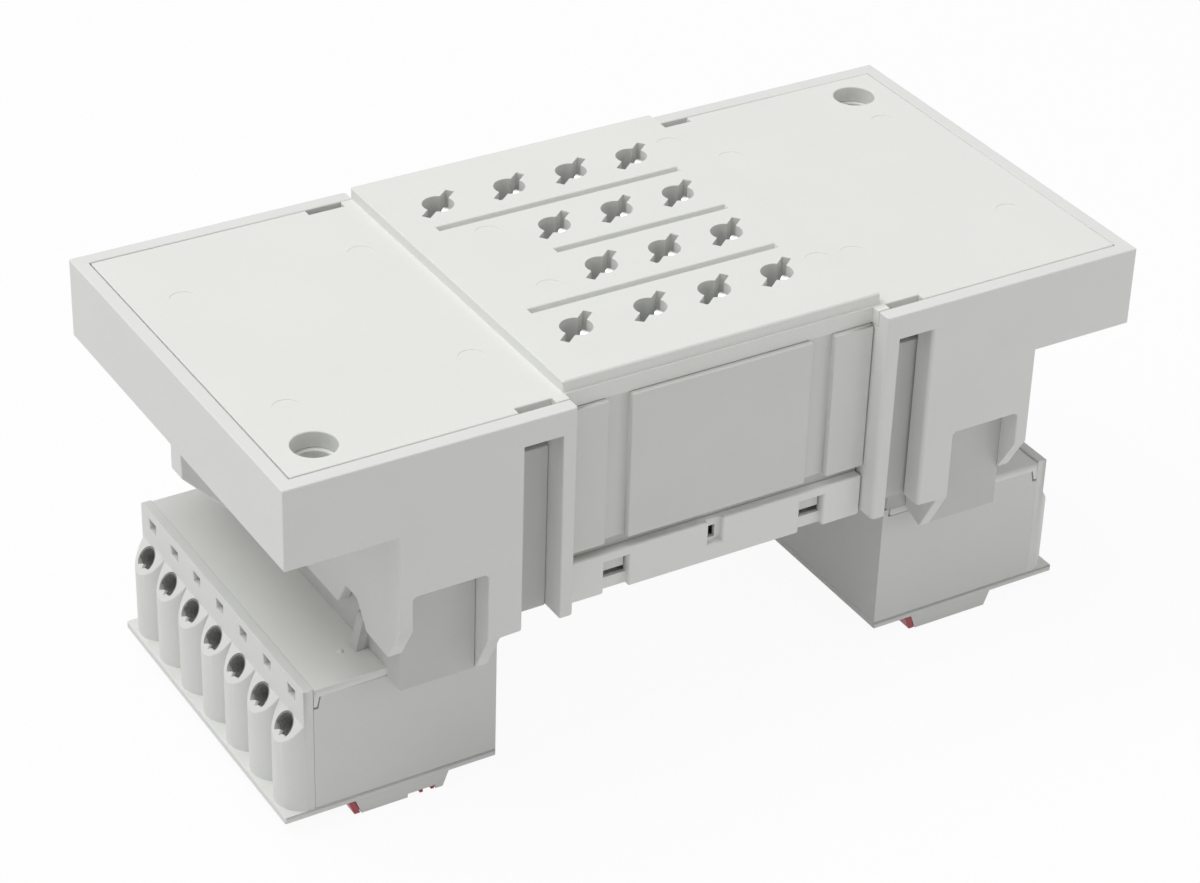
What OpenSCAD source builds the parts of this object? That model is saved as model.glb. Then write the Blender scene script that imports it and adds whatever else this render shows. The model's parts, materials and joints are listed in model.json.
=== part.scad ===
/* [Overall] */
// Length of the socket, over both end frames
body_l = 115.6; // [114.5:0.1:122]
// Depth of the socket, front to back
body_w = 57.6; // [57:0.1:60]
// Height from the top of the terminal lids to the rim of the frames
riser_h = 32.65; // [31.5:0.05:36]

/* [Cover plate] */
// Thickness of the flat plate that fills the rim
plate_t = 2.15; // [1.6:0.05:2.6]
// Height of the raised pad above the plate
pad_h = 1.5; // [1:0.1:3]
// Length of the raised pad
pad_l = 43.2; // [42.8:0.1:44]
// Depth of the raised pad, front to back
pad_w = 52.4; // [50:0.1:53]
// How far the pad's middle lies behind the socket's middle
pad_shift = 0.9; // [0.6:0.05:1.1]
// How far the pad's middle lies to the right of the socket's middle
pad_side = 0.5; // [0:0.1:0.8]
// Slanted edge round the top of the pad
pad_edge = 0.15; // [0.1:0.05:0.5]
// Gap all round between the plate and the rim
seam = 0.12; // [0.05:0.01:0.2]
// Diameter of the screw holes in the plate
screw_d = 5.4; // [4.8:0.1:6]
// Distance of a screw hole from the end of the socket
screw_in_x = 7.3; // [6.8:0.05:8]
// Distance of a screw hole from the long side of the socket
screw_in_y = 6.95; // [6.6:0.05:8]
// Length of the tool notches in the plate
notch_l = 4.8; // [4:0.1:5.2]
// Depth of the tool notches in the plate
notch_w = 1.1; // [0.8:0.1:1.6]

/* [Keyholes] */
// Diameter of the round part of a keyhole
key_d = 4; // [3.6:0.1:4.4]
// Length of the blade slot through a keyhole
slot_l = 7.5; // [7:0.1:8]
// Width of the blade slot
blade_w = 1.15; // [0.9:0.05:1.3]
// Turn of the blade slots
blade_turn = 39; // [35:1:43]
// Spacing of the keyhole rows
row_pitch = 11.2; // [10.8:0.1:11.5]
// Spacing of the last three keyhole columns
column_pitch = 8.8; // [8.5:0.1:9]
// Extra spacing in front of the first column
column_gap = 1.2; // [0.8:0.1:1.4]
// Width of the grooves between the rows
groove_w = 1; // [0.6:0.1:1.4]
// Depth of the grooves between the rows
groove_d = 0.8; // [0.4:0.1:1.2]

/* [End frames] */
// Height of the skirt round each wing
skirt_h = 10.5; // [9:0.1:12]
// Thickness of the skirt at the ends
rim_end = 1.8; // [1.5:0.1:2.2]
// Thickness of the skirt along the front and the back
rim_side = 2; // [1.8:0.05:2.4]
// Width of the ledge that carries the cover plate
ledge_w = 1; // [0.6:0.1:1.4]
// Length of the contact carrier between the frames
middle_l = 42; // [41.6:0.1:42.3]
// Width of the post beside the carrier
post_w = 1.85; // [1.6:0.05:2.1]
// Width of the open slot beside the post
gap_w = 4.88; // [4.5:0.01:5.2]
// Width of the leg from the slot to its outer side
leg_w = 15.97; // [15.5:0.01:16.4]
// Thickness of the leg plates
leg_t = 3; // [2.6:0.1:3.2]
// Width of the window in a leg
window_w = 9.7; // [9:0.05:9.9]
// Height of the window over the lid of the terminals
window_h = 13.6; // [12:0.1:16]
// Height of the two cable notches in the lower edge of the outer wall
dip_h = 3.3; // [2:0.1:4]
// Width of the outer prong
prong_out = 1.75; // [1.6:0.05:2]
// Width of the inner prong
prong_in = 1.65; // [1.5:0.05:2]
// How far the inner prong reaches below the terminal lid
prong_low = 1.25; // [0.8:0.05:1.6]
// Height of the legs over the lid of the terminals
leg_over = 4.35; // [3.8:0.05:5]
// Thickness of the brace under each wing
brace_t = 2.9; // [2:0.1:3.4]

/* [Carrier] */
// Depth of the carrier, front to back
core_w = 52.5; // [52:0.1:52.8]
// Depth of the grooves beside the raised panel
panel_d = 0.9; // [0.5:0.1:1.2]
// Length of the raised panel
panel_l = 24.66; // [23:0.02:26]
// Width of the strips at the carrier's ends
strip_w = 5.4; // [5:0.1:6.4]
// Height of the bottom cover
tray_h = 5.65; // [5.4:0.05:6]
// Gap between the panels and the bottom cover
tray_gap = 1.4; // [1:0.05:1.6]
// Wall of the bottom cover
tray_t = 1.3; // [1.1:0.1:1.5]

/* [Terminals] */
// Number of wire poles in each terminal module
poles = 7; // [7:1:7]
// Spacing of the wire poles
pole_pitch = 6.42; // [6.3:0.01:6.5]
// Distance from the middle of the socket to the terminals' inner face
module_in = 27.5; // [27.3:0.02:27.8]
// Distance from the middle of the socket to the terminals' face plate
module_out = 51.5; // [51:0.1:52]
// Height of a terminal module from its base to its lid
module_h = 17.9; // [17.3:0.1:20]
// Thickness of the lids
lid_t = 1.1; // [0.9:0.05:1.4]
// Thickness of the face plate with the towers
face_t = 1.3; // [1.1:0.1:1.6]
// Thickness of the base plate
base_t = 0.95; // [0.8:0.05:1.2]
// How far the base plate reaches past the face plate
base_out = 2.7; // [2.4:0.1:3]
// How far a wire tower stands out of the face plate
tower_out = 2.3; // [2:0.1:2.6]
// Diameter of a wire entry
entry_d = 3.3; // [3:0.1:3.6]
// Width of the release hole over each wire entry
release_w = 1.95; // [1.5:0.05:2.2]
// Wall of the housings
wall = 1.2; // [1:0.1:1.4]

/* [Feet] */
// Height of the feet
foot_h = 2.05; // [1.9:0.05:2.6]
// Length of a foot at its top
foot_l = 12.45; // [12:0.05:13.4]
// Travel of the red latches
latch_travel = 1.5; // [1:0.1:1.8]
// Clearance round the latches
latch_gap = 0.15; // [0.1:0.01:0.2]

/* [Metal] */
// Thickness of the conductor strips
strip_t = 0.8; // [0.6:0.05:1]
// Height of the conductor bars
bar_h = 2.2; // [1.8:0.1:2.4]
// Thickness of the clamp springs
spring_t = 0.4; // [0.3:0.05:0.5]

/* [Hidden] */
$fn = 48;
eps = 0.01;
cut = 1;

light_grey = "#E4E6E1";
mid_grey = "#DADCD8";
latch_red = "#A5343A";
tin = "#D6D8DA";
spring_steel = "#B8BCC0";

// Heights, from the floor up
lid_z = foot_h + module_h;
rim_z = lid_z + riser_h;
skirt_z = rim_z - skirt_h;
under_z = rim_z - plate_t;
leg_z = lid_z + leg_over;
window_z = lid_z + window_h;
tip_z = lid_z - prong_low;
box_z = lid_z - lid_t;
floor_z = foot_h + base_t;

// Depths, from the middle to the front or the back
half_l = body_l / 2;
half_w = body_w / 2;
leg_y = half_w - leg_t;
core_y = core_w / 2;
module_y = poles * pole_pitch / 2;
plate_y = half_w - rim_side - seam;

// Stations along the length, for the right-hand frame
post_x = middle_l / 2;
gap_x = post_x + post_w;
leg_x = gap_x + gap_w;
side_x = leg_x + leg_w;
window_x = side_x - prong_out;
prong_x = window_x - window_w;
rib_x = prong_x - prong_in;
side_t = 1.5;
fit = 0.15;
tight = 0.05;
post_r = 0.5;
post_back = 0.6;
window_r = 0.4;
panel_y = leg_y - 0.3;
ledge_z = under_z - 1.6;
slot_z = rim_z - 3.24;
brace_y = -0.65;
brace_low = 3.1;
boss_web = 1.2;
boss_wall = 1.5;
shank_d = screw_d - 1;
// Cable notches in the outer wall: how far their four corners lie from the front
dip_in = [15.4, 13.4, 10.6, 8.3];
function dip_y(i) = half_w - dip_in[i];
wall_low = 0.25;
wall_rise = 4.8;
notch_x = gap_x - 0.15;
lip_y = core_y - 0.65;

// Carrier and bottom cover
tray_z = leg_z - 0.5;
tray_top = tray_z + tray_h;
panel_z = tray_top + tray_gap;
bar_z = tray_z + 2.7;
skirt_low = bar_z + bar_h + 0.1;
fork_z = panel_z + 6.2;
fork_l = 4.6;
leaf_t = 0.5;
leaf_w = 4.2;
lead_r = 0.5;
lead_l = 2;
lead_z = rim_z - 0.75;
lead_sides = 8;
snap_x = 13.7;
snap_w = 3.4;
snap_h = 2.65;
hook_w = 3;
hook_t = 1.1;
recess_d = 0.8;
window_low = tray_z + 1.75;
nose_z = [0.85, 2.5];
rib_pitch = 9.9;
rib_t = 1;
panel_top = under_z - 0.05;
inset = 3;
// Notch in the middle of the cover's upper edge, and the hole beside it
mark_w = 2;
mark_h = 3.25;
hole_x = [-0.8, 0.3];
hole_h = [1.1, 2.8];

// Keyholes and poles
columns = [for (i = [0:3]) 5.2 + (i - 2) * column_pitch - (i == 0 ? column_gap : 0)];
rows = [for (i = [0:3]) 1.45 + (1.5 - i) * row_pitch];
groove_out = [3, 3.6];
// Column, row, side and pole of each contact; the poles count from the back
plan = [[0, 0, -1, 0], [1, 0, -1, 1], [2, 0, 1, 1], [3, 0, 1, 0],
    [1, 1, -1, 2], [2, 1, 1, 3], [3, 1, 1, 2],
    [1, 2, -1, 4], [2, 2, -1, 3], [3, 2, 1, 4],
    [0, 3, -1, 6], [1, 3, -1, 5], [2, 3, 1, 5], [3, 3, 1, 6]];
function pole_y(k) = ((poles - 1) / 2 - k) * pole_pitch;

// Conductor route
stem_off = 1.2;
stem_w = 1.6;
drop_x = module_in + 6.2;
drop_z = floor_z + 5.2;
bar_end = module_out - wall - 1.2;
duct_w = 2;
duct_gap = 0.3;
loop_r = 2.6;
loop_x = module_out - wall - 7.6;
loop_w = 4.2;
loop_leg = 5.4;

// Risers, lids and the gussets between them
riser_x = module_in + 0.4;
riser_end = side_x - side_t - tight;
riser_top = slot_z - 3.05;
tab_top = window_z + 4;
// Gusset: how far its back and its face lie from the front, and the corners of its leaning edge,
// each measured from the outer wall of the leg and from the top of the lid
gusset_in = [12.3, 10.8];
gusset_edge = [[0.15, 0], [-0.85, 4.3], [-1.25, 4.75]];
lid_end = module_out - 0.05;
sill_t = 0.85;
lip_w = 2;
lip_h = 1.45;
lip_x = [0.7, 0, 0.35];
lip_gap = 0.2;
pip_x = module_out - 6.15;
pip_in = 11.7;
pip_r = 0.42;
pip_h = 0.4;

// Feet and latches
foot_in = [5.2, 18.15];
foot_lean = 0.8;
nose_l = 0.85;
latch_y = module_y - 1.2;
latch_low = 0.25;
latch_top = 1.35;
channel_l = foot_l - 1.6;
peg_x = 4;
peg_w = 12;
peg_t = 1;
window_y = 8;
catches = [8.6, 10.1];
catch_w = 0.4;
catch_h = 0.35;
catch_z = 0.05;
tongue_t = 0.6;

// Wire towers
tower_half = pole_pitch / 2 - 0.1;
tower_r = (tower_half * tower_half + tower_out * tower_out) / (2 * tower_out);
face_x = module_out + face_t;
tower_x = face_x + tower_out - tower_r;
tower_sides = 44;
face_top = lid_z + 0.15;
shoulder_z = lid_z - 4.7;
shoulder_drop = 1.348 * tower_out;
roof_turn = atan2(shoulder_drop, tower_out);
entry_s = entry_d / 2;
entry_l = 6;
tooth_t = 0.5;
// Toothed rim below each wire entry: distance down the roof, and across it
teeth = [[3.4, 1.2], [3.2, 1.25], [2.4, 0.02], [3.09, -0.11], [2.67, -0.51], [2.55, -1.36], [3.4, -1.2]];
release_z = [2.45, 1];
inlet_w = 3.4;
inlet_z = [9.2, 14.4];
flange_y = module_y + 0.08;

// A box between two corners
module span(a, b) {
    translate(a) cube(b - a);
}

// The left-hand copy of a right-hand shape
module flip(left) {
    if (left) mirror([1, 0, 0]) children();
    else children();
}

// A shape at the front and its mirror image at the back
module front_and_back() {
    children();
    mirror([0, 1, 0]) children();
}

// An upright profile in X and Z, given a depth from y0 to y1
module slab(y0, y1) {
    translate([0, y1, 0]) rotate([90, 0, 0]) linear_extrude(y1 - y0) children();
}

// Flat-sided ring of points, for small round shapes
function ring(r, sides) = [for (i = [0:sides - 1]) r * [cos(i * 360 / sides), sin(i * 360 / sides)]];

module keyhole(depth) {
    cylinder(h = depth, d = key_d);
    rotate([0, 0, blade_turn]) translate([-slot_l / 2, -blade_w / 2, 0])
        cube([slot_l, blade_w, depth]);
}

module groove(y, x0, x1) {
    span([x0, y - groove_w / 2, rim_z + pad_h - groove_d], [x1, y + groove_w / 2, rim_z + pad_h + cut]);
}

module wing() {
    difference() {
        span([post_x, -plate_y, under_z], [half_l - rim_end - seam, plate_y, rim_z]);
        front_and_back() span([notch_x, -plate_y - cut, under_z - cut],
            [notch_x + notch_l, -plate_y + notch_w, rim_z + cut]);
    }
}

module pad() {
    front = pad_shift - pad_w / 2;
    hull() {
        translate([pad_side - pad_l / 2, front, rim_z - eps]) cube([pad_l, pad_w, pad_h - pad_edge]);
        translate([pad_side + pad_edge - pad_l / 2, front + pad_edge, rim_z])
            cube([pad_l - 2 * pad_edge, pad_w - 2 * pad_edge, pad_h]);
    }
}

module screw_places() {
    translate([half_l - screw_in_x, half_w - screw_in_y, 0]) children();
    translate([screw_in_x - half_l, screw_in_y - half_w, 0]) children();
}

module top_plate() {
    color(light_grey) difference() {
        union() {
            wing();
            flip(true) wing();
            span([-post_x - eps, -lip_y, under_z], [post_x + eps, plate_y, rim_z]);
            pad();
        }
        translate([0, 0, under_z - cut]) {
            screw_places() cylinder(h = plate_t + 2 * cut, d = screw_d);
            for (c = plan) translate([columns[c[0]], rows[c[1]], 0]) keyhole(plate_t + pad_h + 2 * cut);
        }
        // one groove between each two rows; the middle one starts at the second column
        for (row = [0:2]) groove((rows[row] + rows[row + 1]) / 2,
            columns[row == 1 ? 1 : 0] - groove_out[0], columns[3] + groove_out[1]);
    }
}

// Outline of the front of a leg, with its window; the window's upper corners are cut off
module leg_front() {
    polygon([[leg_x, rim_z], [side_x, rim_z], [side_x, window_z - window_r], [window_x, window_z - window_r],
        [window_x - window_r, window_z], [prong_x + window_r, window_z], [prong_x, window_z - window_r],
        [prong_x, leg_z], [leg_x, leg_z]]);
}

// Side outline of the inner prong, in depth and height
module prong_side() {
    polygon([[-half_w, leg_z + cut], [-half_w, leg_z], [-leg_y, tip_z],
        [-module_y - fit, lid_z], [-module_y - fit, leg_z + cut]]);
}

// Side outline of the outer wall of a leg
module wall_side() {
    half = [[0, rim_z - cut], [half_w, rim_z - cut], [half_w, leg_z + wall_rise],
        [leg_y, leg_z - wall_low], [dip_y(3), leg_z], [dip_y(2), leg_z + dip_h],
        [dip_y(1), leg_z + dip_h], [dip_y(0), leg_z], [0, leg_z]];
    polygon(half);
    mirror([1, 0]) polygon(half);
}

// Side outline of the outer prong, which ends in the same slant
module outer_prong() {
    polygon([[-half_w, window_z], [-half_w, leg_z + wall_rise], [-leg_y, leg_z - wall_low],
        [-leg_y, window_z]]);
}

// A side outline in Y and Z, given a width from x0 to x1
module sheet(x0, x1) {
    translate([x0, 0, 0]) rotate([90, 0, 90]) linear_extrude(x1 - x0) children();
}

// Plan of the post, with its rounded front edge; it reaches past the face of the riser's panel
module post_plan() {
    depth = half_w - panel_y + post_back;
    translate([post_x + post_r, -half_w]) square([post_w - post_r, depth]);
    translate([post_x, post_r - half_w]) square([post_w, depth - post_r]);
    translate([post_x + post_r, post_r - half_w]) circle(r = post_r);
}

// Plan of what is cut away to round an edge that stands at the origin, with the solid behind it
module edge_plan(r) {
    difference() {
        translate([-cut, -cut]) square(r + cut);
        translate([r, r]) circle(r = r);
    }
}

// Skirt round the wing, with the ledge that carries the cover plate
module skirt() {
    difference() {
        span([post_x, -half_w, skirt_z], [half_l, half_w, rim_z]);
        span([post_x - cut, rim_side + ledge_w - half_w, skirt_z - cut],
            [half_l - rim_end - ledge_w, half_w - rim_side - ledge_w, rim_z]);
        span([side_x, rim_side - half_w, skirt_z - cut],
            [half_l - rim_end, half_w - rim_side, ledge_z]);
        // square corner beside the rounded post
        front_and_back() span([post_x - cut, -half_w - cut, skirt_z - cut],
            [post_x + post_r, -leg_y, rim_z + cut]);
    }
}

// Legs with their windows, prongs and posts, the outer wall and the inner wall
module legs() {
    front_and_back() {
        slab(-half_w, -leg_y) leg_front();
        sheet(rib_x, prong_x) prong_side();
        span([rib_x, -leg_y - eps, leg_z], [prong_x, -module_y - fit, window_z]);
        sheet(window_x, side_x) outer_prong();
        translate([0, 0, leg_z]) linear_extrude(under_z - leg_z) post_plan();
        translate([0, 0, skirt_z]) linear_extrude(rim_z - skirt_z) intersection() {
            post_plan();
            translate([post_x, -half_w]) square([post_w, rim_side]);
        }
    }
    sheet(side_x - side_t, side_x) wall_side();
    span([post_x, -panel_y, bar_z + bar_h + fit], [gap_x, panel_y, under_z]);
}

// Everything above the ledge that lies under the cover plate stays clear of it
module plate_room() {
    span([post_x - cut, rim_side - half_w, under_z], [half_l - rim_end, half_w - rim_side, rim_z + cut]);
}

module frame(left) {
    color(light_grey) flip(left) difference() {
        union() {
            skirt();
            legs();
            // brace under the wing
            slab(brace_y - brace_t / 2, brace_y + brace_t / 2)
                polygon([[side_x - eps, ledge_z], [side_x - eps, leg_z], [half_l, skirt_z - brace_low],
                    [half_l, skirt_z + eps], [half_l - rim_end + eps, ledge_z]]);
            screw_boss(left);
        }
        plate_room();
        // open slot beside the post, up through the skirt, and the tool notch over it
        front_and_back() {
            span([gap_x, -half_w - cut, leg_z - cut], [leg_x, -panel_y, slot_z]);
            span([gap_x, rim_side - half_w, slot_z - eps], [leg_x, -panel_y, rim_z]);
            translate([leg_x, -half_w, leg_z - cut]) linear_extrude(slot_z - leg_z + cut) edge_plan(post_r);
        }
        screw_bore(left);
    }
}

// The screw hole lies at the front on the left and at the back on the right
module boss_place(left) {
    translate([half_l - screw_in_x, (left ? -1 : 1) * (half_w - screw_in_y), 0]) children();
}

module screw_boss(left) {
    y = (left ? -1 : 1) * (half_w - screw_in_y);
    boss_place(left) translate([0, 0, skirt_z]) cylinder(h = under_z - skirt_z, d = screw_d + 2 * boss_wall);
    span([half_l - screw_in_x, y - boss_web / 2, skirt_z], [half_l - rim_end / 2, y + boss_web / 2, under_z]);
}

module screw_bore(left) {
    boss_place(left) translate([0, 0, skirt_z - cut]) cylinder(h = skirt_h, d = shank_d);
}

// Front outline of the carrier's panels
module carrier_front() {
    translate([-panel_l / 2, panel_z]) square([panel_l, panel_top - panel_z]);
    for (side = [-1, 1]) translate([side < 0 ? -post_x + fit : post_x - fit - strip_w, panel_z])
        square([strip_w, panel_top - panel_z]);
}

// Snap hook that holds the bottom cover, with its nose in the cover's window
module snap_hook(x) {
    back = tray_t + 0.1 - core_y;
    span([x - hook_w / 2, back, window_low + nose_z[0]], [x + hook_w / 2, back + hook_t, panel_z + eps]);
    span([x - hook_w / 2, recess_d + 0.1 - core_y, window_low + nose_z[0]],
        [x + hook_w / 2, back + eps, window_low + nose_z[1]]);
}

module contact_carrier() {
    x = post_x - fit;
    color(light_grey) difference() {
        union() {
            span([-x, -core_y + panel_d, panel_z], [x, core_y - panel_d, under_z]);
            front_and_back() slab(-core_y, -core_y + panel_d + eps) carrier_front();
            for (side = [-1, 1]) front_and_back() snap_hook(side * snap_x);
            // skirts down to the conductor bars, on all four sides
            for (side = [false, true]) flip(side) span([x - hook_t, inset - core_y, skirt_low],
                [x, core_y - inset, panel_z + eps]);
            front_and_back() span([-x, tray_t + 0.1 - core_y, skirt_low],
                [x, tray_t + 0.1 + hook_t - core_y, panel_z + eps]);
        }
        // chamber of each blade fork, and the slot below it for the conductor's stem
        for (c = plan) {
            translate([columns[c[0]], rows[c[1]], fork_z]) rotate([0, 0, blade_turn])
                translate([-fork_l / 2 - fit, -leaf_w / 2, 0]) cube([fork_l + 2 * fit, leaf_w, under_z]);
            translate([columns[c[0]] + c[2] * stem_off, rows[c[1]], panel_z - cut])
                translate([-stem_w / 2 - fit, -strip_t / 2 - fit, 0])
                cube([stem_w + 2 * fit, strip_t + 2 * fit, fork_z - panel_z + 2 * cut]);
        }
    }
}

module bottom_cover() {
    x = post_x - fit;
    color(light_grey) difference() {
        union() {
            span([-x, -core_y, tray_z], [x, core_y, tray_z + tray_t]);
            front_and_back() span([-x, -core_y, tray_z], [x, -core_y + tray_t, tray_top]);
            // ribs that carry the conductor bars
            for (rib = [-2:2]) translate([rib * rib_pitch, 0, 0])
                span([-rib_t / 2, -core_y, tray_z], [rib_t / 2, core_y, bar_z]);
        }
        // recess below each snap window, and the window itself
        for (side = [-1, 1]) front_and_back() translate([side * snap_x, -core_y, 0]) {
            span([-snap_w / 2, -cut, tray_z - cut], [snap_w / 2, recess_d, window_low + snap_h]);
            span([-snap_w / 2, -cut, window_low], [snap_w / 2, tray_t + cut, window_low + snap_h]);
        }
        // notch in the middle of the upper edge
        front_and_back() translate([0, -core_y, tray_top]) {
            span([-mark_w / 2, -cut, -mark_h], [mark_w / 2, recess_d, cut]);
            span([hole_x[0], -cut, -hole_h[1]], [hole_x[1], tray_t + cut, -hole_h[0]]);
        }
        // clear of the conductor bars
        span([-x - cut, -core_y + tray_t, bar_z], [x + cut, core_y - tray_t, tray_top + cut]);
    }
}

module riser(left) {
    duct_top = bar_z + bar_h + duct_gap;
    duct_end = drop_x + bar_h / 2 + fit;
    color(mid_grey) flip(left) difference() {
        union() {
            // tower over the terminal lid, and the arm that carries the conductors from the carrier
            span([riser_x, -module_y, lid_z], [riser_end, module_y, riser_top]);
            span([gap_x + tight, -module_y, leg_z], [riser_x + eps, module_y, duct_top + wall]);
            front_and_back() {
                // tab in the window, with its lower end over the edge of the lid
                span([prong_x + tight, tight - leg_y, tip_z], [riser_end, -module_y - tight, tab_top]);
                span([prong_x + tight, tight - leg_y, lid_z], [riser_end, -module_y + eps, tab_top]);
                // panel behind the open slot
                span([gap_x + tight, -panel_y, leg_z], [rib_x - tight, -module_y + eps, riser_top]);
                // gusset on the lid, leaning in as it rises
                slab(gusset_in[1] - half_w, gusset_in[0] - half_w) polygon(concat(
                    [[riser_end - eps, lid_z + gusset_edge[2][1]], [riser_end - eps, lid_z]],
                    [for (corner = gusset_edge) [side_x + corner[0], lid_z + corner[1]]]));
            }
        }
        // ducts for the conductors
        for (k = [0:poles - 1]) translate([0, pole_y(k), 0]) {
            span([gap_x, -duct_w / 2, bar_z - 0.1], [duct_end, duct_w / 2, duct_top]);
            span([duct_end - bar_h - 2 * fit, -duct_w / 2, lid_z - cut], [duct_end, duct_w / 2, duct_top]);
        }
        // hollow above the ducts
        span([riser_x + wall, wall - module_y, duct_top + wall],
            [riser_end - wall, module_y - wall, riser_top + cut]);
    }
}

module lid(left) {
    color(mid_grey) flip(left) difference() {
        union() {
            span([module_in + sill_t + lip_gap, -module_y, box_z], [lid_end, module_y, lid_z]);
            // hooked lips at both ends, and a small pip
            front_and_back() slab(-module_y, lip_w - module_y) polygon([
                [lid_end - lip_x[0], box_z + eps], [lid_end, box_z + eps],
                [lid_end - lip_x[1], box_z - lip_h], [lid_end - lip_x[2], box_z - lip_h]]);
            translate([pip_x, pip_in - half_w, lid_z - eps])
                linear_extrude(pip_h, scale = 0.5) polygon(ring(pip_r, 10));
        }
        for (k = [0:poles - 1]) translate([drop_x, pole_y(k), 0])
            span([-bar_h / 2 - duct_gap, -duct_w / 2, box_z - cut],
                [bar_h / 2 + duct_gap, duct_w / 2, lid_z + cut]);
    }
}

module housing(left) {
    chamber_w = pole_pitch - wall;
    color(mid_grey) flip(left) difference() {
        union() {
            span([module_in, -module_y, floor_z], [module_out, module_y, box_z]);
            // sill beside the inner end of the lid
            span([module_in, -module_y, box_z - eps], [module_in + sill_t, module_y, lid_z]);
        }
        for (k = [0:poles - 1]) translate([0, pole_y(k), 0]) {
            span([module_in + wall, -chamber_w / 2, floor_z + wall],
                [module_out - wall, chamber_w / 2, lid_z]);
            // way in for the wire, and for the tool that opens the clamp
            span([module_out - wall - cut, -inlet_w / 2, inlet_z[0]],
                [module_out + cut, inlet_w / 2, inlet_z[1]]);
            span([module_out - wall - cut, -release_w / 2, lid_z - release_z[0]],
                [module_out + cut, release_w / 2, box_z + cut]);
        }
        // notches for the hooked lips of the lid
        front_and_back() slab(-module_y - cut, lip_w + lip_gap - module_y) polygon([
            [lid_end - lip_x[0] - lip_gap, box_z + eps], [module_out + cut, box_z + eps],
            [module_out + cut, box_z - lip_h - lip_gap],
            [lid_end - lip_x[2] - lip_gap, box_z - lip_h - lip_gap]]);
    }
}

// A place on the slanted roof of one wire tower: X runs down the roof, Z stands square to it
module roof_place(k) {
    translate([face_x, pole_y(k), shoulder_z]) rotate([0, roof_turn, 0]) children();
}

module shroud(left) {
    front = face_x + tower_out;
    color(light_grey) flip(left) {
        difference() {
            union() {
                span([module_out, -module_y, foot_h], [face_x, module_y, face_top]);
                span([module_in, -flange_y, foot_h], [face_x + base_out, flange_y, floor_z]);
                // wire towers, each with its slanted roof
                for (k = [0:poles - 1]) intersection() {
                    translate([tower_x, pole_y(k), foot_h]) linear_extrude(face_top - foot_h)
                        polygon(ring(tower_r, tower_sides));
                    slab(-module_y, module_y) polygon([[module_out + eps, foot_h + eps],
                        [front, foot_h + eps], [front, shoulder_z - shoulder_drop],
                        [face_x - eps, shoulder_z], [module_out + eps, shoulder_z]]);
                }
            }
            // slanting wire entry, and the hole over it that releases the clamp
            for (k = [0:poles - 1]) {
                roof_place(k) translate([entry_s, 0, -entry_l]) cylinder(h = entry_l + cut, d = entry_d);
                translate([0, pole_y(k), lid_z]) span([module_out - cut, -release_w / 2, -release_z[0]],
                    [face_x + cut, release_w / 2, -release_z[1]]);
            }
        }
        for (k = [0:poles - 1]) roof_place(k) translate([0, 0, -tooth_t])
            linear_extrude(tooth_t) polygon(teeth);
    }
}

// Where a foot starts: both face the same way
function foot_x(left) = left ? foot_in[0] - module_out : module_out - foot_in[1];

// Upright outline of a foot
module foot_side(x) {
    polygon([[x, foot_h], [x + foot_lean, 0], [x + foot_l - foot_lean, 0], [x + foot_l, foot_h]]);
}

module foot(left) {
    x = foot_x(left);
    color(light_grey) difference() {
        slab(-module_y, module_y) foot_side(x);
        // channel of the latch, open at its nose and below, with the peg that the spring bears on
        difference() {
            span([x - cut, -latch_y - latch_gap, -cut],
                [x + channel_l, latch_y + latch_gap, latch_top + latch_gap]);
            span([x + peg_x, -peg_w / 2, -cut], [x + peg_x + peg_t, peg_w / 2, foot_h]);
        }
        // slots for the two catches, which only the left-hand latch has
        if (left) for (c = catches) span([x + c - latch_travel - latch_gap, -module_y - cut, -cut],
            [x + c + catch_w + latch_gap, -latch_y, catch_h + latch_gap]);
    }
}

module latch(left) {
    x = foot_x(left);
    tongue_x = x + peg_x + peg_t + latch_travel + latch_gap;
    color(latch_red) difference() {
        union() {
            // slanted nose along the end of the foot
            slab(-module_y, module_y) polygon([[x - nose_l, foot_h - 0.1], [x - 0.05, foot_h - 0.1],
                [x + foot_lean - latch_gap, 0.1], [x + foot_lean - nose_l - 0.1, 0.1]]);
            span([x - 0.2, -latch_y, latch_low], [x + channel_l - 2 * latch_gap, latch_y, latch_top]);
            if (left) for (c = catches) translate([x + c, 0, 0]) {
                span([0, -module_y, catch_z], [catch_w, eps - latch_y, catch_h]);
                span([0, -latch_y, catch_z], [catch_w, 1 - latch_y, latch_top]);
            }
        }
        // window round the peg, with the moulded spring tongue along its far side
        difference() {
            span([x + peg_x - 2 * latch_gap, -window_y, -cut],
                [tongue_x + 2 * tongue_t + 0.5, window_y, foot_h]);
            span([tongue_x, wall - window_y, -cut], [tongue_x + tongue_t, window_y + cut, foot_h]);
        }
    }
}

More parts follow.
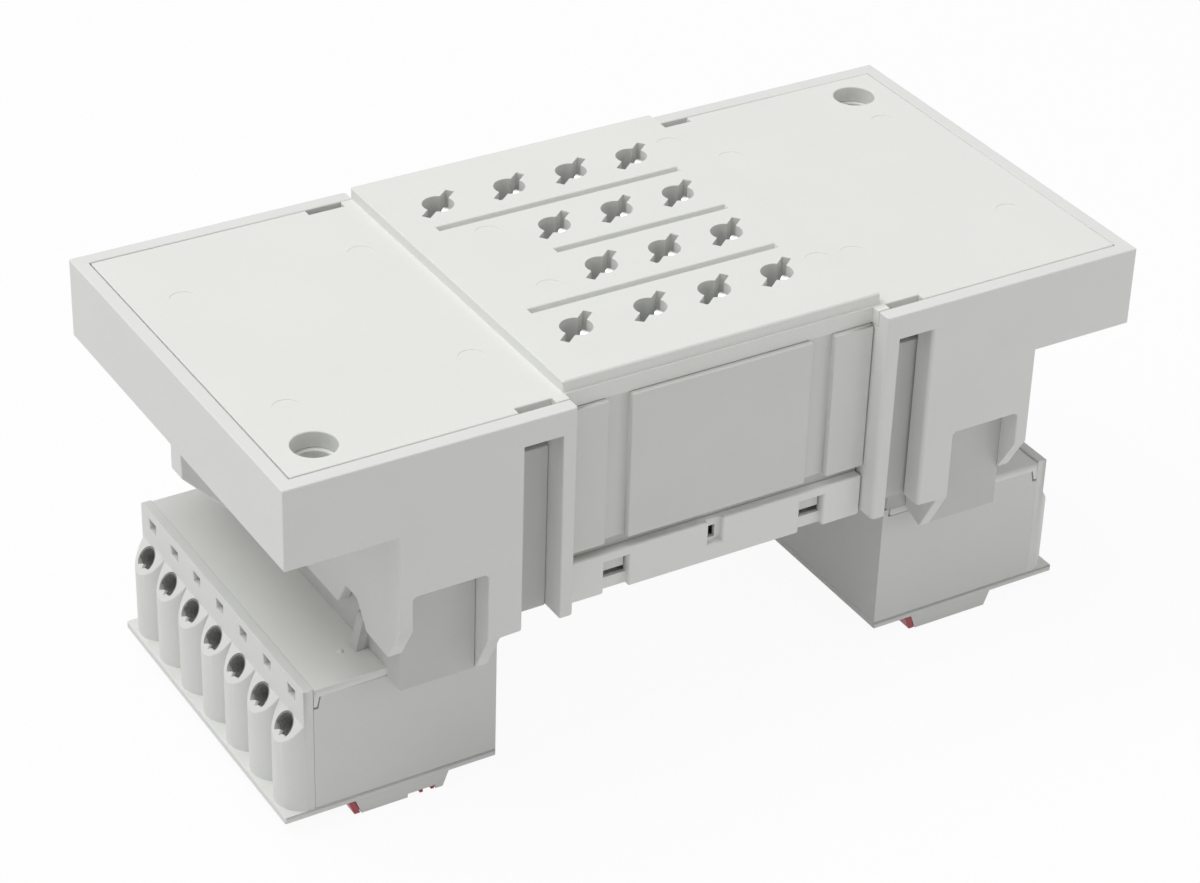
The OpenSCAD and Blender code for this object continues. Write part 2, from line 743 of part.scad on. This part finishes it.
// One conductor: blade fork, stem, jog, bar, drop and foot under the clamp
module contact(i) {
    c = plan[i];
    side = c[2];
    x = columns[c[0]];
    y = rows[c[1]];
    to_y = pole_y(c[3]);
    start = side * x + stem_off;
    low = min(y, to_y);
    high = max(y, to_y);
    fork_h = under_z - 0.3 - fork_z;
    color(tin) union() {
        translate([x, y, fork_z]) rotate([0, 0, blade_turn]) translate([-fork_l / 2, 0, 0]) {
            for (v = [-1, 1]) translate([0, v * (blade_w + leaf_t) / 2 - leaf_t / 2, 0])
                cube([fork_l, leaf_t, fork_h - lead_r]);
            translate([0, -blade_w / 2 - leaf_t, 0]) cube([fork_l, blade_w + 2 * leaf_t, leaf_t]);
            // raised lug with a rolled lead-in, seen down the keyhole
            translate([(fork_l - lead_l) / 2, -blade_w / 2 - leaf_t, 0])
                cube([lead_l, leaf_t, lead_z - fork_z]);
            translate([(fork_l - lead_l) / 2, -blade_w / 2 - lead_r, lead_z - fork_z]) rotate([90, 0, 90])
                linear_extrude(lead_l) polygon(ring(lead_r, lead_sides));
        }
        translate([side * start - stem_w / 2, y - strip_t / 2, bar_z])
            cube([stem_w, strip_t, fork_z + leaf_t / 2 - bar_z]);
        translate([side * start - stem_w / 2, low - strip_t / 2, bar_z])
            cube([stem_w, high - low + strip_t, bar_h]);
        flip(side < 0) slab(to_y - strip_t / 2, to_y + strip_t / 2) polygon([
            [start, bar_z], [start, bar_z + bar_h], [drop_x + bar_h / 2, bar_z + bar_h],
            [drop_x + bar_h / 2, drop_z + bar_h], [bar_end, drop_z + bar_h], [bar_end, drop_z],
            [drop_x - bar_h / 2, drop_z], [drop_x - bar_h / 2, bar_z]]);
    }
}

// Points round the loop of a clamp spring, after the end of its straight leg
loop_turns = [270, 225, 180, 135, 90, 45, 0];
loop_tail = -1.6;
function loop_run(r) = concat([[loop_leg, -r]], [for (a = loop_turns) r * [cos(a), sin(a)]]);

// Clamp spring of one pole: a loop with two legs, standing on the conductor
module clamp_spring(i) {
    c = plan[i];
    y = pole_y(c[3]);
    color(spring_steel) flip(c[2] < 0) slab(y - loop_w / 2, y + loop_w / 2)
        translate([loop_x, drop_z + bar_h + loop_r])
            polygon(concat(loop_run(loop_r), [[loop_r, loop_tail], [loop_r - spring_t, loop_tail]],
                [for (i = [len(loop_turns) - 1:-1:0]) loop_run(loop_r - spring_t)[i + 1]],
                [[loop_leg, spring_t - loop_r]]));
}

top_plate();
frame(true);  // left_frame
frame(false);  // right_frame
contact_carrier();
bottom_cover();
riser(true);  // left_riser
riser(false);  // right_riser
lid(true);  // left_lid
lid(false);  // right_lid
housing(true);  // left_housing
housing(false);  // right_housing
shroud(true);  // left_shroud
shroud(false);  // right_shroud
foot(true);  // left_foot
foot(false);  // right_foot
latch(true);  // left_latch
latch(false);  // right_latch
for (i = [0:13]) contact(i);
for (i = [0:13]) clamp_spring(i);
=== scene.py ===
import json
import math

import bmesh
import bpy
from mathutils import Matrix, Vector

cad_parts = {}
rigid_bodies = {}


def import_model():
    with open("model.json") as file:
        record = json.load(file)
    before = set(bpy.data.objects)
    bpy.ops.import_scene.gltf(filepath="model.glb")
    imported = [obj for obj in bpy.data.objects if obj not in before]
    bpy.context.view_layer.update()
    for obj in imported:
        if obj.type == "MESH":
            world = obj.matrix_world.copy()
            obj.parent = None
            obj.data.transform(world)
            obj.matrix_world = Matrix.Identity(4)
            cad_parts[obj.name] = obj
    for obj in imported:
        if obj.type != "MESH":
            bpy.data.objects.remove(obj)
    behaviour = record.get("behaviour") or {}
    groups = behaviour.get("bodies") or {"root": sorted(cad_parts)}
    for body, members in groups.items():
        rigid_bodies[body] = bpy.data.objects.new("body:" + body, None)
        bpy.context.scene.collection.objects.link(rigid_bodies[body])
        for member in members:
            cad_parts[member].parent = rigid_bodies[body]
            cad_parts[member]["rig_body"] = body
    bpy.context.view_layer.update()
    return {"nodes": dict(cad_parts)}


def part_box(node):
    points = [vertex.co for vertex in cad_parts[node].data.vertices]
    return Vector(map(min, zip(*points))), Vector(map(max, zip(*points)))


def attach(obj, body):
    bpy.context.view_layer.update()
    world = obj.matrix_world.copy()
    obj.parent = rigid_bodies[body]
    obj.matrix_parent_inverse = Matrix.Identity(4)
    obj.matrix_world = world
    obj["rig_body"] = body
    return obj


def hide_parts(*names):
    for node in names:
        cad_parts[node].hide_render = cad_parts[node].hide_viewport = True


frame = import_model()
mm = 0.001


def addObject(name, data):
    added = bpy.data.objects.new(name, data)
    bpy.context.scene.collection.objects.link(added)
    return added


def newMesh(name, bm):
    mesh = bpy.data.meshes.new(name)
    bm.to_mesh(mesh)
    bm.free()
    return mesh


def smoothMesh(mesh, sharpFrom=40):
    for polygon in mesh.polygons:
        polygon.use_smooth = True
    mesh.set_sharp_from_angle(angle=math.radians(sharpFrom))


# camera and view

cameraSetup = {
    "lens": 101.54,  # mm
    "sensor": 36,  # mm wide
    "near": 10,  # mm, nothing closer is drawn
    "azimuth": -31.61,  # degrees round from the front, to the left
    "elevation": 32.149,
    "roll": 1.925,
    "place": (-187.6, -304.14, 250.43),  # mm
}


def addCamera(setup):
    angles = ("azimuth", "elevation", "roll")
    azimuth, elevation, roll = (math.radians(setup[key]) for key in angles)
    back = Vector((math.sin(azimuth) * math.cos(elevation),
                   -math.cos(azimuth) * math.cos(elevation),
                   math.sin(elevation)))
    right = (-back).cross(Vector((0, 0, 1))).normalized()
    up = right.cross(-back)
    turnedRight = math.cos(roll) * right + math.sin(roll) * up
    turnedUp = -math.sin(roll) * right + math.cos(roll) * up
    lens = bpy.data.cameras.new("photoCamera")
    lens.lens = setup["lens"]
    lens.sensor_width = setup["sensor"]
    lens.sensor_fit = "HORIZONTAL"
    lens.clip_start = setup["near"] * mm
    camera = addObject("photoCamera", lens)
    turn = Matrix((turnedRight, turnedUp, back)).transposed().to_4x4()
    camera.matrix_world = Matrix.Translation(Vector(setup["place"]) * mm) @ turn
    bpy.context.scene.camera = camera


addCamera(cameraSetup)
bpy.context.scene.view_settings.view_transform = "Standard"
print("camera placed")


# materials

def linear(hexColour):
    channels = [int(hexColour[i:i + 2], 16) / 255 for i in (1, 3, 5)]
    return tuple(c / 12.92 if c <= 0.04045 else ((c + 0.055) / 1.055) ** 2.4
                 for c in channels) + (1.0,)


def addNode(tree, kind, inputs, **settings):
    node = tree.nodes.new(kind)
    for key, value in settings.items():
        setattr(node, key, value)
    for socket, value in inputs.items():
        if isinstance(value, bpy.types.NodeSocket):
            tree.links.new(value, node.inputs[socket])
        else:
            node.inputs[socket].default_value = value
    return node


def newMaterial(name):
    material = bpy.data.materials.new(name)
    material.use_nodes = True
    material.node_tree.nodes.clear()
    return material


# the mix node's sockets for colours, which share their names with its sockets for numbers
mixFactor, mixFirst, mixSecond, mixResult = 0, 6, 7, 2


def mouldedPlastic(name, look):
    material = newMaterial(name)
    tree = material.node_tree
    place = addNode(tree, "ShaderNodeTexCoord", {}).outputs["Object"]
    # wide soft clouds where the melt flowed and cooled unevenly
    flow = addNode(tree, "ShaderNodeTexNoise", {
        "Vector": place, "Scale": 1 / (look["flowSize"] * mm), "Detail": 3.0, "Roughness": 0.55})
    tint = addNode(tree, "ShaderNodeMix", {
        mixFactor: flow.outputs["Fac"],
        mixFirst: linear(look["darker"]), mixSecond: linear(look["lighter"])}, data_type="RGBA")
    # eroded mould texture, drawn at twice its real grain so that it shows
    grain = addNode(tree, "ShaderNodeTexNoise", {
        "Vector": place, "Scale": 1 / (look["grainSize"] * mm), "Detail": 2.0, "Roughness": 0.6})
    bump = addNode(tree, "ShaderNodeBump", {
        "Height": grain.outputs["Fac"], "Strength": look["bump"],
        "Distance": look["grainDepth"] * mm})
    smoothest, roughest = look["rough"]
    rough = addNode(tree, "ShaderNodeMapRange", {
        "Value": grain.outputs["Fac"], "To Min": smoothest, "To Max": roughest})
    surface = addNode(tree, "ShaderNodeBsdfPrincipled", {
        "Base Color": tint.outputs[mixResult], "Roughness": rough.outputs["Result"],
        "Normal": bump.outputs["Normal"], "IOR": look["ior"], "Specular IOR Level": look["gloss"]})
    addNode(tree, "ShaderNodeOutputMaterial", {"Surface": surface.outputs["BSDF"]})
    return material


# what the greys share: sizes in mm, and roughness from the grain's hollows to its tops
polyamide = {"flowSize": 10, "grainSize": 0.25, "grainDepth": 0.02, "bump": 0.35,
             "rough": (0.49, 0.61), "ior": 1.53, "gloss": 0.4}

# glass-filled polyamide, moulded in an eroded steel tool: a light grey satin with a fine even grain
platePolyamide = mouldedPlastic("moulded_polyamide_plate_grey", {
    **polyamide, "darker": "#E2E3DF", "lighter": "#E7E8E4", "flowSize": 14, "grainSize": 0.3})

# the same polyamide, a shade lighter as painted light: the lids, which lie under the wings, and the
# bottom cover, lit from the floor below
litCoverPolyamide = mouldedPlastic("moulded_polyamide_cover_painted_light", {
    **polyamide, "darker": "#E5E6E2", "lighter": "#EAEBE8", "flowSize": 12, "grainSize": 0.3})

# the same polyamide, a shade darker: the frames, the shrouds and the feet
framePolyamide = mouldedPlastic("moulded_polyamide_frame_grey", {
    **polyamide, "darker": "#DDDEDB", "lighter": "#E3E4E1", "grainDepth": 0.018,
    "rough": (0.46, 0.58)})

# the same polyamide from a smoother tool, darker again: the terminal housings
housingPolyamide = mouldedPlastic("moulded_polyamide_housing_grey", {
    **polyamide, "darker": "#D9DAD7", "lighter": "#DFE0DD", "flowSize": 11,
    "grainSize": 0.22, "grainDepth": 0.015, "bump": 0.3, "rough": (0.44, 0.56)})

# the carrier's polyamide, a shade greyer as painted shade, where its strips and tabs lie recessed
# beside the posts and legs
shadedCarrierPolyamide = mouldedPlastic("moulded_polyamide_carrier_painted_shade", {
    **polyamide, "darker": "#D5D6D2", "lighter": "#DBDCD8"})

# the risers' polyamide, the darkest of the greys, as painted shade where the risers stand recessed
# in the slots
shadedRiserPolyamide = mouldedPlastic("moulded_polyamide_riser_painted_shade", {
    **polyamide, "darker": "#C9CAC7", "lighter": "#D0D1CE", "flowSize": 8,
    "grainSize": 0.22, "grainDepth": 0.015, "bump": 0.3, "gloss": 0.35})

# dark grey polyamide, coarse and matt, for the funnels in the wire entries: their dark colour is
# painted shade deep in the entries
entryShadePolyamide = mouldedPlastic("moulded_polyamide_entry_painted_shade", {
    **polyamide, "darker": "#62625F", "lighter": "#A8A8A4", "flowSize": 0.35,
    "grainDepth": 0.05, "bump": 0.6, "rough": (0.64, 0.76), "gloss": 0.3})

# acetal, moulded and unpolished: the dark red latches, slippery and slightly glossy
redAcetal = mouldedPlastic("moulded_acetal_red", {
    "darker": "#AE444C", "lighter": "#BC4D53", "flowSize": 6, "grainSize": 0.25,
    "grainDepth": 0.01, "bump": 0.25, "rough": (0.34, 0.46), "ior": 1.48, "gloss": 0.5})


def stampedMetal(name, look):
    material = newMaterial(name)
    tree = material.node_tree
    place = addNode(tree, "ShaderNodeTexCoord", {}).outputs["Object"]
    # rolling marks run along the strip, so the noise is stretched that way
    along = addNode(tree, "ShaderNodeMapping", {"Vector": place, "Scale": look["stretch"]})
    marks = addNode(tree, "ShaderNodeTexNoise", {
        "Vector": along.outputs["Vector"], "Scale": 1 / (look["markSize"] * mm), "Detail": 3.0})
    tint = addNode(tree, "ShaderNodeMix", {
        mixFactor: marks.outputs["Fac"],
        mixFirst: linear(look["darker"]), mixSecond: linear(look["lighter"])}, data_type="RGBA")
    smoothest, roughest = look["rough"]
    rough = addNode(tree, "ShaderNodeMapRange", {
        "Value": marks.outputs["Fac"], "To Min": smoothest, "To Max": roughest})
    bump = addNode(tree, "ShaderNodeBump", {
        "Height": marks.outputs["Fac"], "Strength": look["bump"],
        "Distance": look["markDepth"] * mm})
    surface = addNode(tree, "ShaderNodeBsdfPrincipled", {
        "Base Color": tint.outputs[mixResult], "Roughness": rough.outputs["Result"],
        "Normal": bump.outputs["Normal"], "Metallic": 1.0})
    addNode(tree, "ShaderNodeOutputMaterial", {"Surface": surface.outputs["BSDF"]})
    return material


# tin-plated copper alloy, stamped and bent: bright and silvery, with soft drawn marks
tinPlate = stampedMetal("tin_plated_copper_alloy", {
    "darker": "#C9CBCD", "lighter": "#E4E5E6", "markSize": 0.6, "markDepth": 0.01,
    "stretch": (1, 1, 0.25), "bump": 0.2, "rough": (0.13, 0.3)})

# hardened spring steel, ground: cooler and a little darker than the tin
springSteel = stampedMetal("hardened_spring_steel", {
    "darker": "#9EA2A6", "lighter": "#BCC0C4", "markSize": 0.5, "markDepth": 0.01,
    "stretch": (1, 0.3, 1), "bump": 0.2, "rough": (0.23, 0.4)})
print("materials made")


# CAD nodes with their edges rounded as a mould leaves them

rounding = {
    "steps": 3,
    "weld": 0.001,  # mm, points closer than this are one
    "flat": 0.4,  # degrees, faces that turn less than this are one
    "leastTurn": 32,  # degrees between two faces, at less the edge is part of a curved face
    "room": 2.2,  # widths that a rounded edge needs in its faces and along the next rounded edge
    "endRoom": 1.3,  # widths that it needs along an edge that stays sharp
    "endReach": 0.3,  # mm past its ends in which points still take room
    "cornerSlope": 0.6,  # a point past its ends with less side room than this only rounds a corner
    "cornerTurn": 21.5,  # degrees, the most that neighbouring edges of a rounded corner turn
    "cornerRadius": 1.2,  # widths, the tightest rounded corner that is followed
}


def faceRoom(edge, face, slope):
    start = edge.verts[0].co
    along = edge.verts[1].co - start
    length = along.length
    along.normalize()
    inward = face.normal.cross(along)
    rooms = []
    for vert in face.verts:
        offset = vert.co - start
        side = abs(offset.dot(inward))
        beyond = max(-offset.dot(along), offset.dot(along) - length)
        if beyond < rounding["endReach"] * mm and side > max(rounding["weld"] * mm, slope * beyond):
            rooms.append(side)
    return min(rooms, default=math.inf)


def smoothChain(edge, vert, tightest, chosen):
    along = (edge.other_vert(vert).co - vert.co).normalized()
    for other in vert.link_edges:
        if other is edge or other not in chosen:
            continue
        turn = along.angle(vert.co - other.other_vert(vert).co)
        shorter = min(edge.calc_length(), other.calc_length())
        if turn < math.radians(rounding["cornerTurn"]) and shorter > tightest * turn:
            return True
    return False


def cornersAllow(edge, width, tightest, chosen):
    for vert in edge.verts:
        for face in edge.link_faces:
            for other in face.edges:
                if other is edge or vert not in other.verts:
                    continue
                needed = rounding["room" if other in chosen else "endRoom"] * width
                if other.calc_length() < needed and not smoothChain(edge, vert, tightest, chosen):
                    return False
    return True


def edgesToRound(bm, width, followsCorners):
    slope = rounding["cornerSlope"] if followsCorners else 0.0
    tightest = rounding["cornerRadius"] * width if followsCorners else 0.0
    room = rounding["room"] * width
    leastTurn = math.radians(rounding["leastTurn"])
    chosen = set()
    for edge in bm.edges:
        if len(edge.link_faces) != 2 or edge.calc_face_angle(0) < leastTurn:
            continue
        edge.smooth = False
        if edge.is_convex and all(faceRoom(edge, face, slope) > room for face in edge.link_faces):
            chosen.add(edge)
    while True:
        refused = {edge for edge in chosen if not cornersAllow(edge, width, tightest, chosen)}
        if not refused:
            return chosen
        chosen -= refused


def rounded(nodeName, material, width):
    source = frame["nodes"][nodeName]
    bm = bmesh.new()
    bm.from_mesh(source.data)
    bmesh.ops.remove_doubles(bm, verts=bm.verts, dist=rounding["weld"] * mm)
    bmesh.ops.dissolve_limit(
        bm, angle_limit=math.radians(rounding["flat"]), verts=bm.verts, edges=bm.edges)
    for face in bm.faces:
        face.smooth = True
    # only the frames have rounded corners that their edges run round
    chosen = edgesToRound(bm, width * mm, followsCorners="frame" in nodeName)
    for edge in chosen:
        edge.smooth = True
    bmesh.ops.bevel(
        bm, geom=list(chosen), offset=width * mm, offset_type="OFFSET", affect="EDGES",
        segments=rounding["steps"], profile_type="SUPERELLIPSE", profile=0.5,
        clamp_overlap=False, material=-1, loop_slide=True)
    mesh = newMesh(nodeName + "_moulded", bm)
    # the CAD's own normals no longer fit
    if "custom_normal" in mesh.attributes:
        mesh.attributes.remove(mesh.attributes["custom_normal"])
    mesh.materials.append(material)
    piece = addObject(nodeName + "_moulded", mesh)
    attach(piece, source["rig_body"])
    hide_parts(nodeName)
    return piece


def keepFlat(piece):
    weighted = piece.modifiers.new("flatFaces", "WEIGHTED_NORMAL")
    weighted.keep_sharp = True
    weighted.weight = 100


# shallow round marks that the ejector pins leave in the cover plate, in mm

ejectorMarks = {
    "radius": 1.65, "depth": 0.05, "steps": 48,
    "padHeight": 1.5,  # the pad's top above the wings
    "wings": [(-49.75, 13.87), (-49.75, -13.5), (49.75, 13.99), (49.7, -13.43),
              (26.6, 14.4), (26.4, -13.5), (-26.3, 14.12), (-26.3, -13.55)],
    "pad": [(-11.67, 9.04), (-11.65, -5.9), (20.1, 18.9), (20.1, -15.1)],
}


def carveMarks(piece, setup):
    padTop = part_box("top_plate")[1][2] / mm
    radius = setup["radius"] * mm
    bm = bmesh.new()
    for key, top in (("wings", padTop - setup["padHeight"]), ("pad", padTop)):
        for x, y in setup[key]:
            bmesh.ops.create_cone(
                bm, cap_ends=True, segments=setup["steps"], radius1=radius, radius2=radius,
                depth=2 * setup["depth"] * mm, matrix=Matrix.Translation(Vector((x, y, top)) * mm))
    tool = addObject("pinTool", newMesh("pinTool", bm))
    carve = piece.modifiers.new("pinMarks", "BOOLEAN")
    carve.operation = "DIFFERENCE"
    carve.solver = "EXACT"
    carve.object = tool
    carved = bpy.data.meshes.new_from_object(
        piece.evaluated_get(bpy.context.evaluated_depsgraph_get()))
    piece.modifiers.clear()
    piece.data = carved
    carved.name = "top_plate_moulded"
    smoothMesh(carved)
    bpy.data.objects.remove(tool)


# copies of a small form, each made at the origin and then put in its place

def placeFresh(bm, place):
    fresh = [vert for vert in bm.verts if not vert.tag]
    bmesh.ops.transform(bm, matrix=place, verts=fresh)
    for vert in fresh:
        vert.tag = True


def addCopies(name, bm, material):
    bmesh.ops.recalc_face_normals(bm, faces=bm.faces)
    mesh = newMesh(name, bm)
    smoothMesh(mesh)
    mesh.materials.append(material)
    return addObject(name, mesh)


# dark funnels that lead the wires into the towers, their dark grey painted shade of the deep
# entries

funnels = {
    "mouth": 1.6, "throat": 1.0, "wall": 0.18, "length": 3.4,  # mm, the first two are radii
    "steps": 32,
    "sunk": 0.06, "teeth": 0.6,  # mm that the mouth lies below the roof, and below the teeth
    "toothed": 0.35,  # share of the mouth's radius, past it the mouth passes under the teeth
    "face": 52.8, "shoulder": 15.25,  # mm, where the roof starts
    "along": 1.65,  # mm from there down the roof
    "turn": 53.43,  # degrees, the roof's slope
    "pitch": 6.42, "count": 7,
}


def spinFunnel(bm, setup):
    outside = [(setup["mouth"], -setup["sunk"]), (setup["throat"], -setup["length"])]
    inside = [(radius - setup["wall"], height) for radius, height in reversed(outside)]
    verts = [bm.verts.new((radius * mm, 0, height * mm)) for radius, height in outside + inside]
    edges = [bm.edges.new(pair) for pair in zip(verts, verts[1:] + verts[:1])]
    bmesh.ops.spin(bm, geom=verts + edges, cent=(0, 0, 0), axis=(0, 0, 1), angle=2 * math.pi,
                   steps=setup["steps"], use_merge=True)
    for vert in bm.verts:
        inMouth = vert.co.z > -setup["length"] / 2 * mm
        if not vert.tag and inMouth and vert.co.x > setup["toothed"] * setup["mouth"] * mm:
            vert.co.z = -setup["teeth"] * mm


def addFunnels(side, setup):
    end = "left" if side < 0 else "right"
    bm = bmesh.new()
    for k in range(setup["count"]):
        spinFunnel(bm, setup)
        y = ((setup["count"] - 1) / 2 - k) * setup["pitch"]
        placeFresh(bm, Matrix.Translation(Vector((setup["face"], y, setup["shoulder"])) * mm)
                   @ Matrix.Rotation(math.radians(setup["turn"]), 4, "Y")
                   @ Matrix.Translation((setup["along"] * mm, 0, 0)))
    if side < 0:
        bmesh.ops.transform(bm, matrix=Matrix.Scale(-1, 4, (1, 0, 0)), verts=bm.verts)
    piece = addCopies(end + "_entry_funnels", bm, entryShadePolyamide)
    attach(piece, frame["nodes"][end + "_shroud"]["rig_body"])


# rolled lead-in of each contact, the bright metal at the right of each keyhole

contactLeads = {
    "columns": (-13.6, -3.6, 5.2, 14.0), "rows": (18.25, 7.05, -4.15, -15.35),  # mm
    "missing": ((0, 1), (0, 2)),  # column and row without a keyhole
    "turn": 39,  # degrees, as the blade slots
    "roll": 0.7, "sheet": 0.3, "width": 0.95,  # mm, the roll's radius outside
    "steps": 16,
    "along": 0.3, "beside": -1.05, "depth": 1.25,  # mm, the roll's middle from the pad's top
    "foot": 2.6,  # mm below the pad's top
}


def rollLead(bm, setup):
    # the sheet's cut end, rolled over towards the front and drawn down to the contact
    lip = bmesh.ops.create_grid(bm, x_segments=1, y_segments=1, size=0.5)["verts"]
    size = Matrix.Diagonal((setup["sheet"] * mm, setup["width"] * mm, 1, 1))
    start = Matrix.Translation(((setup["sheet"] / 2 - setup["roll"]) * mm, 0, 0))
    bmesh.ops.transform(bm, matrix=start @ size, verts=lip)
    spun = bmesh.ops.spin(bm, geom=list(lip[0].link_faces), cent=(0, 0, 0), axis=(0, 1, 0),
                          angle=math.pi, steps=setup["steps"])["geom_last"]
    last = [part for part in spun if isinstance(part, bmesh.types.BMFace)]
    drawn = bmesh.ops.extrude_face_region(bm, geom=last)["geom"]
    bmesh.ops.delete(bm, geom=last, context="FACES_ONLY")
    drop = setup["foot"] - setup["depth"]
    bmesh.ops.translate(bm, vec=(0, 0, -drop * mm),
                        verts=[part for part in drawn if isinstance(part, bmesh.types.BMVert)])


def addLeads(setup):
    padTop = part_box("top_plate")[1][2]
    bm = bmesh.new()
    for column, x in enumerate(setup["columns"]):
        for row, y in enumerate(setup["rows"]):
            if (column, row) in setup["missing"]:
                continue
            rollLead(bm, setup)
            offset = Vector((setup["along"], setup["beside"], -setup["depth"])) * mm
            placeFresh(bm, Matrix.Translation((x * mm, y * mm, padTop))
                       @ Matrix.Rotation(math.radians(setup["turn"]), 4, "Z")
                       @ Matrix.Translation(offset))
    piece = addCopies("contact_leads", bm, tinPlate)
    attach(piece, frame["nodes"]["contact_1"]["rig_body"])


# each mould part, left and right together where there are two: its material, the record's slot,
# and how far its edges are rounded, in mm
mouldParts = {
    "frame": (framePolyamide, "frame_grey", 0.18),
    "contact_carrier": (shadedCarrierPolyamide, "frame_grey", 0.15),
    "bottom_cover": (litCoverPolyamide, "frame_grey", 0.3),
    "top_plate": (platePolyamide, "frame_grey", 0.18),
    "riser": (shadedRiserPolyamide, "terminal_grey", 0.12),
    "lid": (litCoverPolyamide, "terminal_grey", 0.22),
    "housing": (housingPolyamide, "terminal_grey", 0.05),
    "shroud": (framePolyamide, "terminal_grey", 0.14),
    "foot": (framePolyamide, "terminal_grey", 0.05),
    "latch": (redAcetal, "latch_red", 0.1),
}
for part, (material, slot, width) in mouldParts.items():
    for nodeName in [name for name in frame["nodes"] if name.endswith(part)]:
        piece = rounded(nodeName, material, width)
        if part == "top_plate":
            carveMarks(piece, ejectorMarks)
        keepFlat(piece)
for side in (-1, 1):
    addFunnels(side, funnels)
addLeads(contactLeads)

# the stamped parts are seen as CAD makes them
metalParts = {"contact_": tinPlate, "clamp_spring_": springSteel}
for nodeName, node in frame["nodes"].items():
    metal = metalParts.get(nodeName.rstrip("0123456789"))
    if metal:
        node.data.materials.clear()
        node.data.materials.append(metal)
print("moulded parts rounded")


# floor and light

def seenDirectly(tree):
    rays = addNode(tree, "ShaderNodeLightPath", {})
    seen = addNode(tree, "ShaderNodeMath", {
        0: rays.outputs["Is Camera Ray"], 1: rays.outputs["Is Glossy Ray"]}, operation="MAXIMUM")
    return addNode(tree, "ShaderNodeMath", {
        0: seen.outputs[0], 1: rays.outputs["Is Transmission Ray"]}, operation="MAXIMUM").outputs[0]


floorSetup = {
    "reach": 4,  # m from the middle to each side
    "below": 0.05,  # mm under the feet, so that no two faces share a plane
    "paint": "#E8E8E8",
    "white": 0.94,  # share of plain white where the floor is seen directly, the rest shows shadow
}


def addFloor(setup):
    bm = bmesh.new()
    bmesh.ops.create_grid(bm, x_segments=1, y_segments=1, size=setup["reach"],
                          matrix=Matrix.Translation((0, 0, -setup["below"] * mm)))
    mesh = newMesh("studioFloor", bm)
    material = newMaterial("matt_white_paint")
    tree = material.node_tree
    share = addNode(tree, "ShaderNodeMath", {0: seenDirectly(tree), 1: setup["white"]},
                    operation="MULTIPLY")
    paint = addNode(tree, "ShaderNodeBsdfDiffuse", {"Color": linear(setup["paint"])})
    white = addNode(tree, "ShaderNodeEmission", {"Color": (1, 1, 1, 1), "Strength": 1.0})
    mixed = addNode(tree, "ShaderNodeMixShader", {
        0: share.outputs[0], 1: paint.outputs[0], 2: white.outputs[0]})
    addNode(tree, "ShaderNodeOutputMaterial", {"Surface": mixed.outputs[0]})
    mesh.materials.append(material)
    floor = addObject("studioFloor", mesh)


lightSetup = {
    "world": 0.41,  # even light from the walls of the tent
    "aim": (0, 0, 30),  # mm
    "softboxes": [
        # name, place in m, width in m, power in W
        ("overheadSoftbox", (-0.45, 0.25, 1.35), 1.1, 12.8),
        ("leftSoftbox", (-1.0, 0.1, 0.9), 1.1, 1.5),
        ("rightFill", (0.22, -0.22, 0.12), 0.16, 0.1),
    ],
}


def addLight(setup):
    world = bpy.data.worlds.new("lightTent")
    world.use_nodes = True
    tree = world.node_tree
    tree.nodes.clear()
    strength = addNode(tree, "ShaderNodeMapRange", {
        "Value": seenDirectly(tree), "To Min": setup["world"], "To Max": 1.0})
    background = addNode(tree, "ShaderNodeBackground", {
        "Color": (1, 1, 1, 1), "Strength": strength.outputs["Result"]})
    addNode(tree, "ShaderNodeOutputWorld", {"Surface": background.outputs[0]})
    bpy.context.scene.world = world
    for name, place, width, power in setup["softboxes"]:
        lamp = bpy.data.lights.new(name, "AREA")
        lamp.size = width
        lamp.energy = power
        softbox = addObject(name, lamp)
        softbox.location = place
        beam = Vector(setup["aim"]) * mm - Vector(place)
        softbox.rotation_euler = beam.to_track_quat("-Z", "Y").to_euler()


addFloor(floorSetup)
addLight(lightSetup)
print("floor and light added")
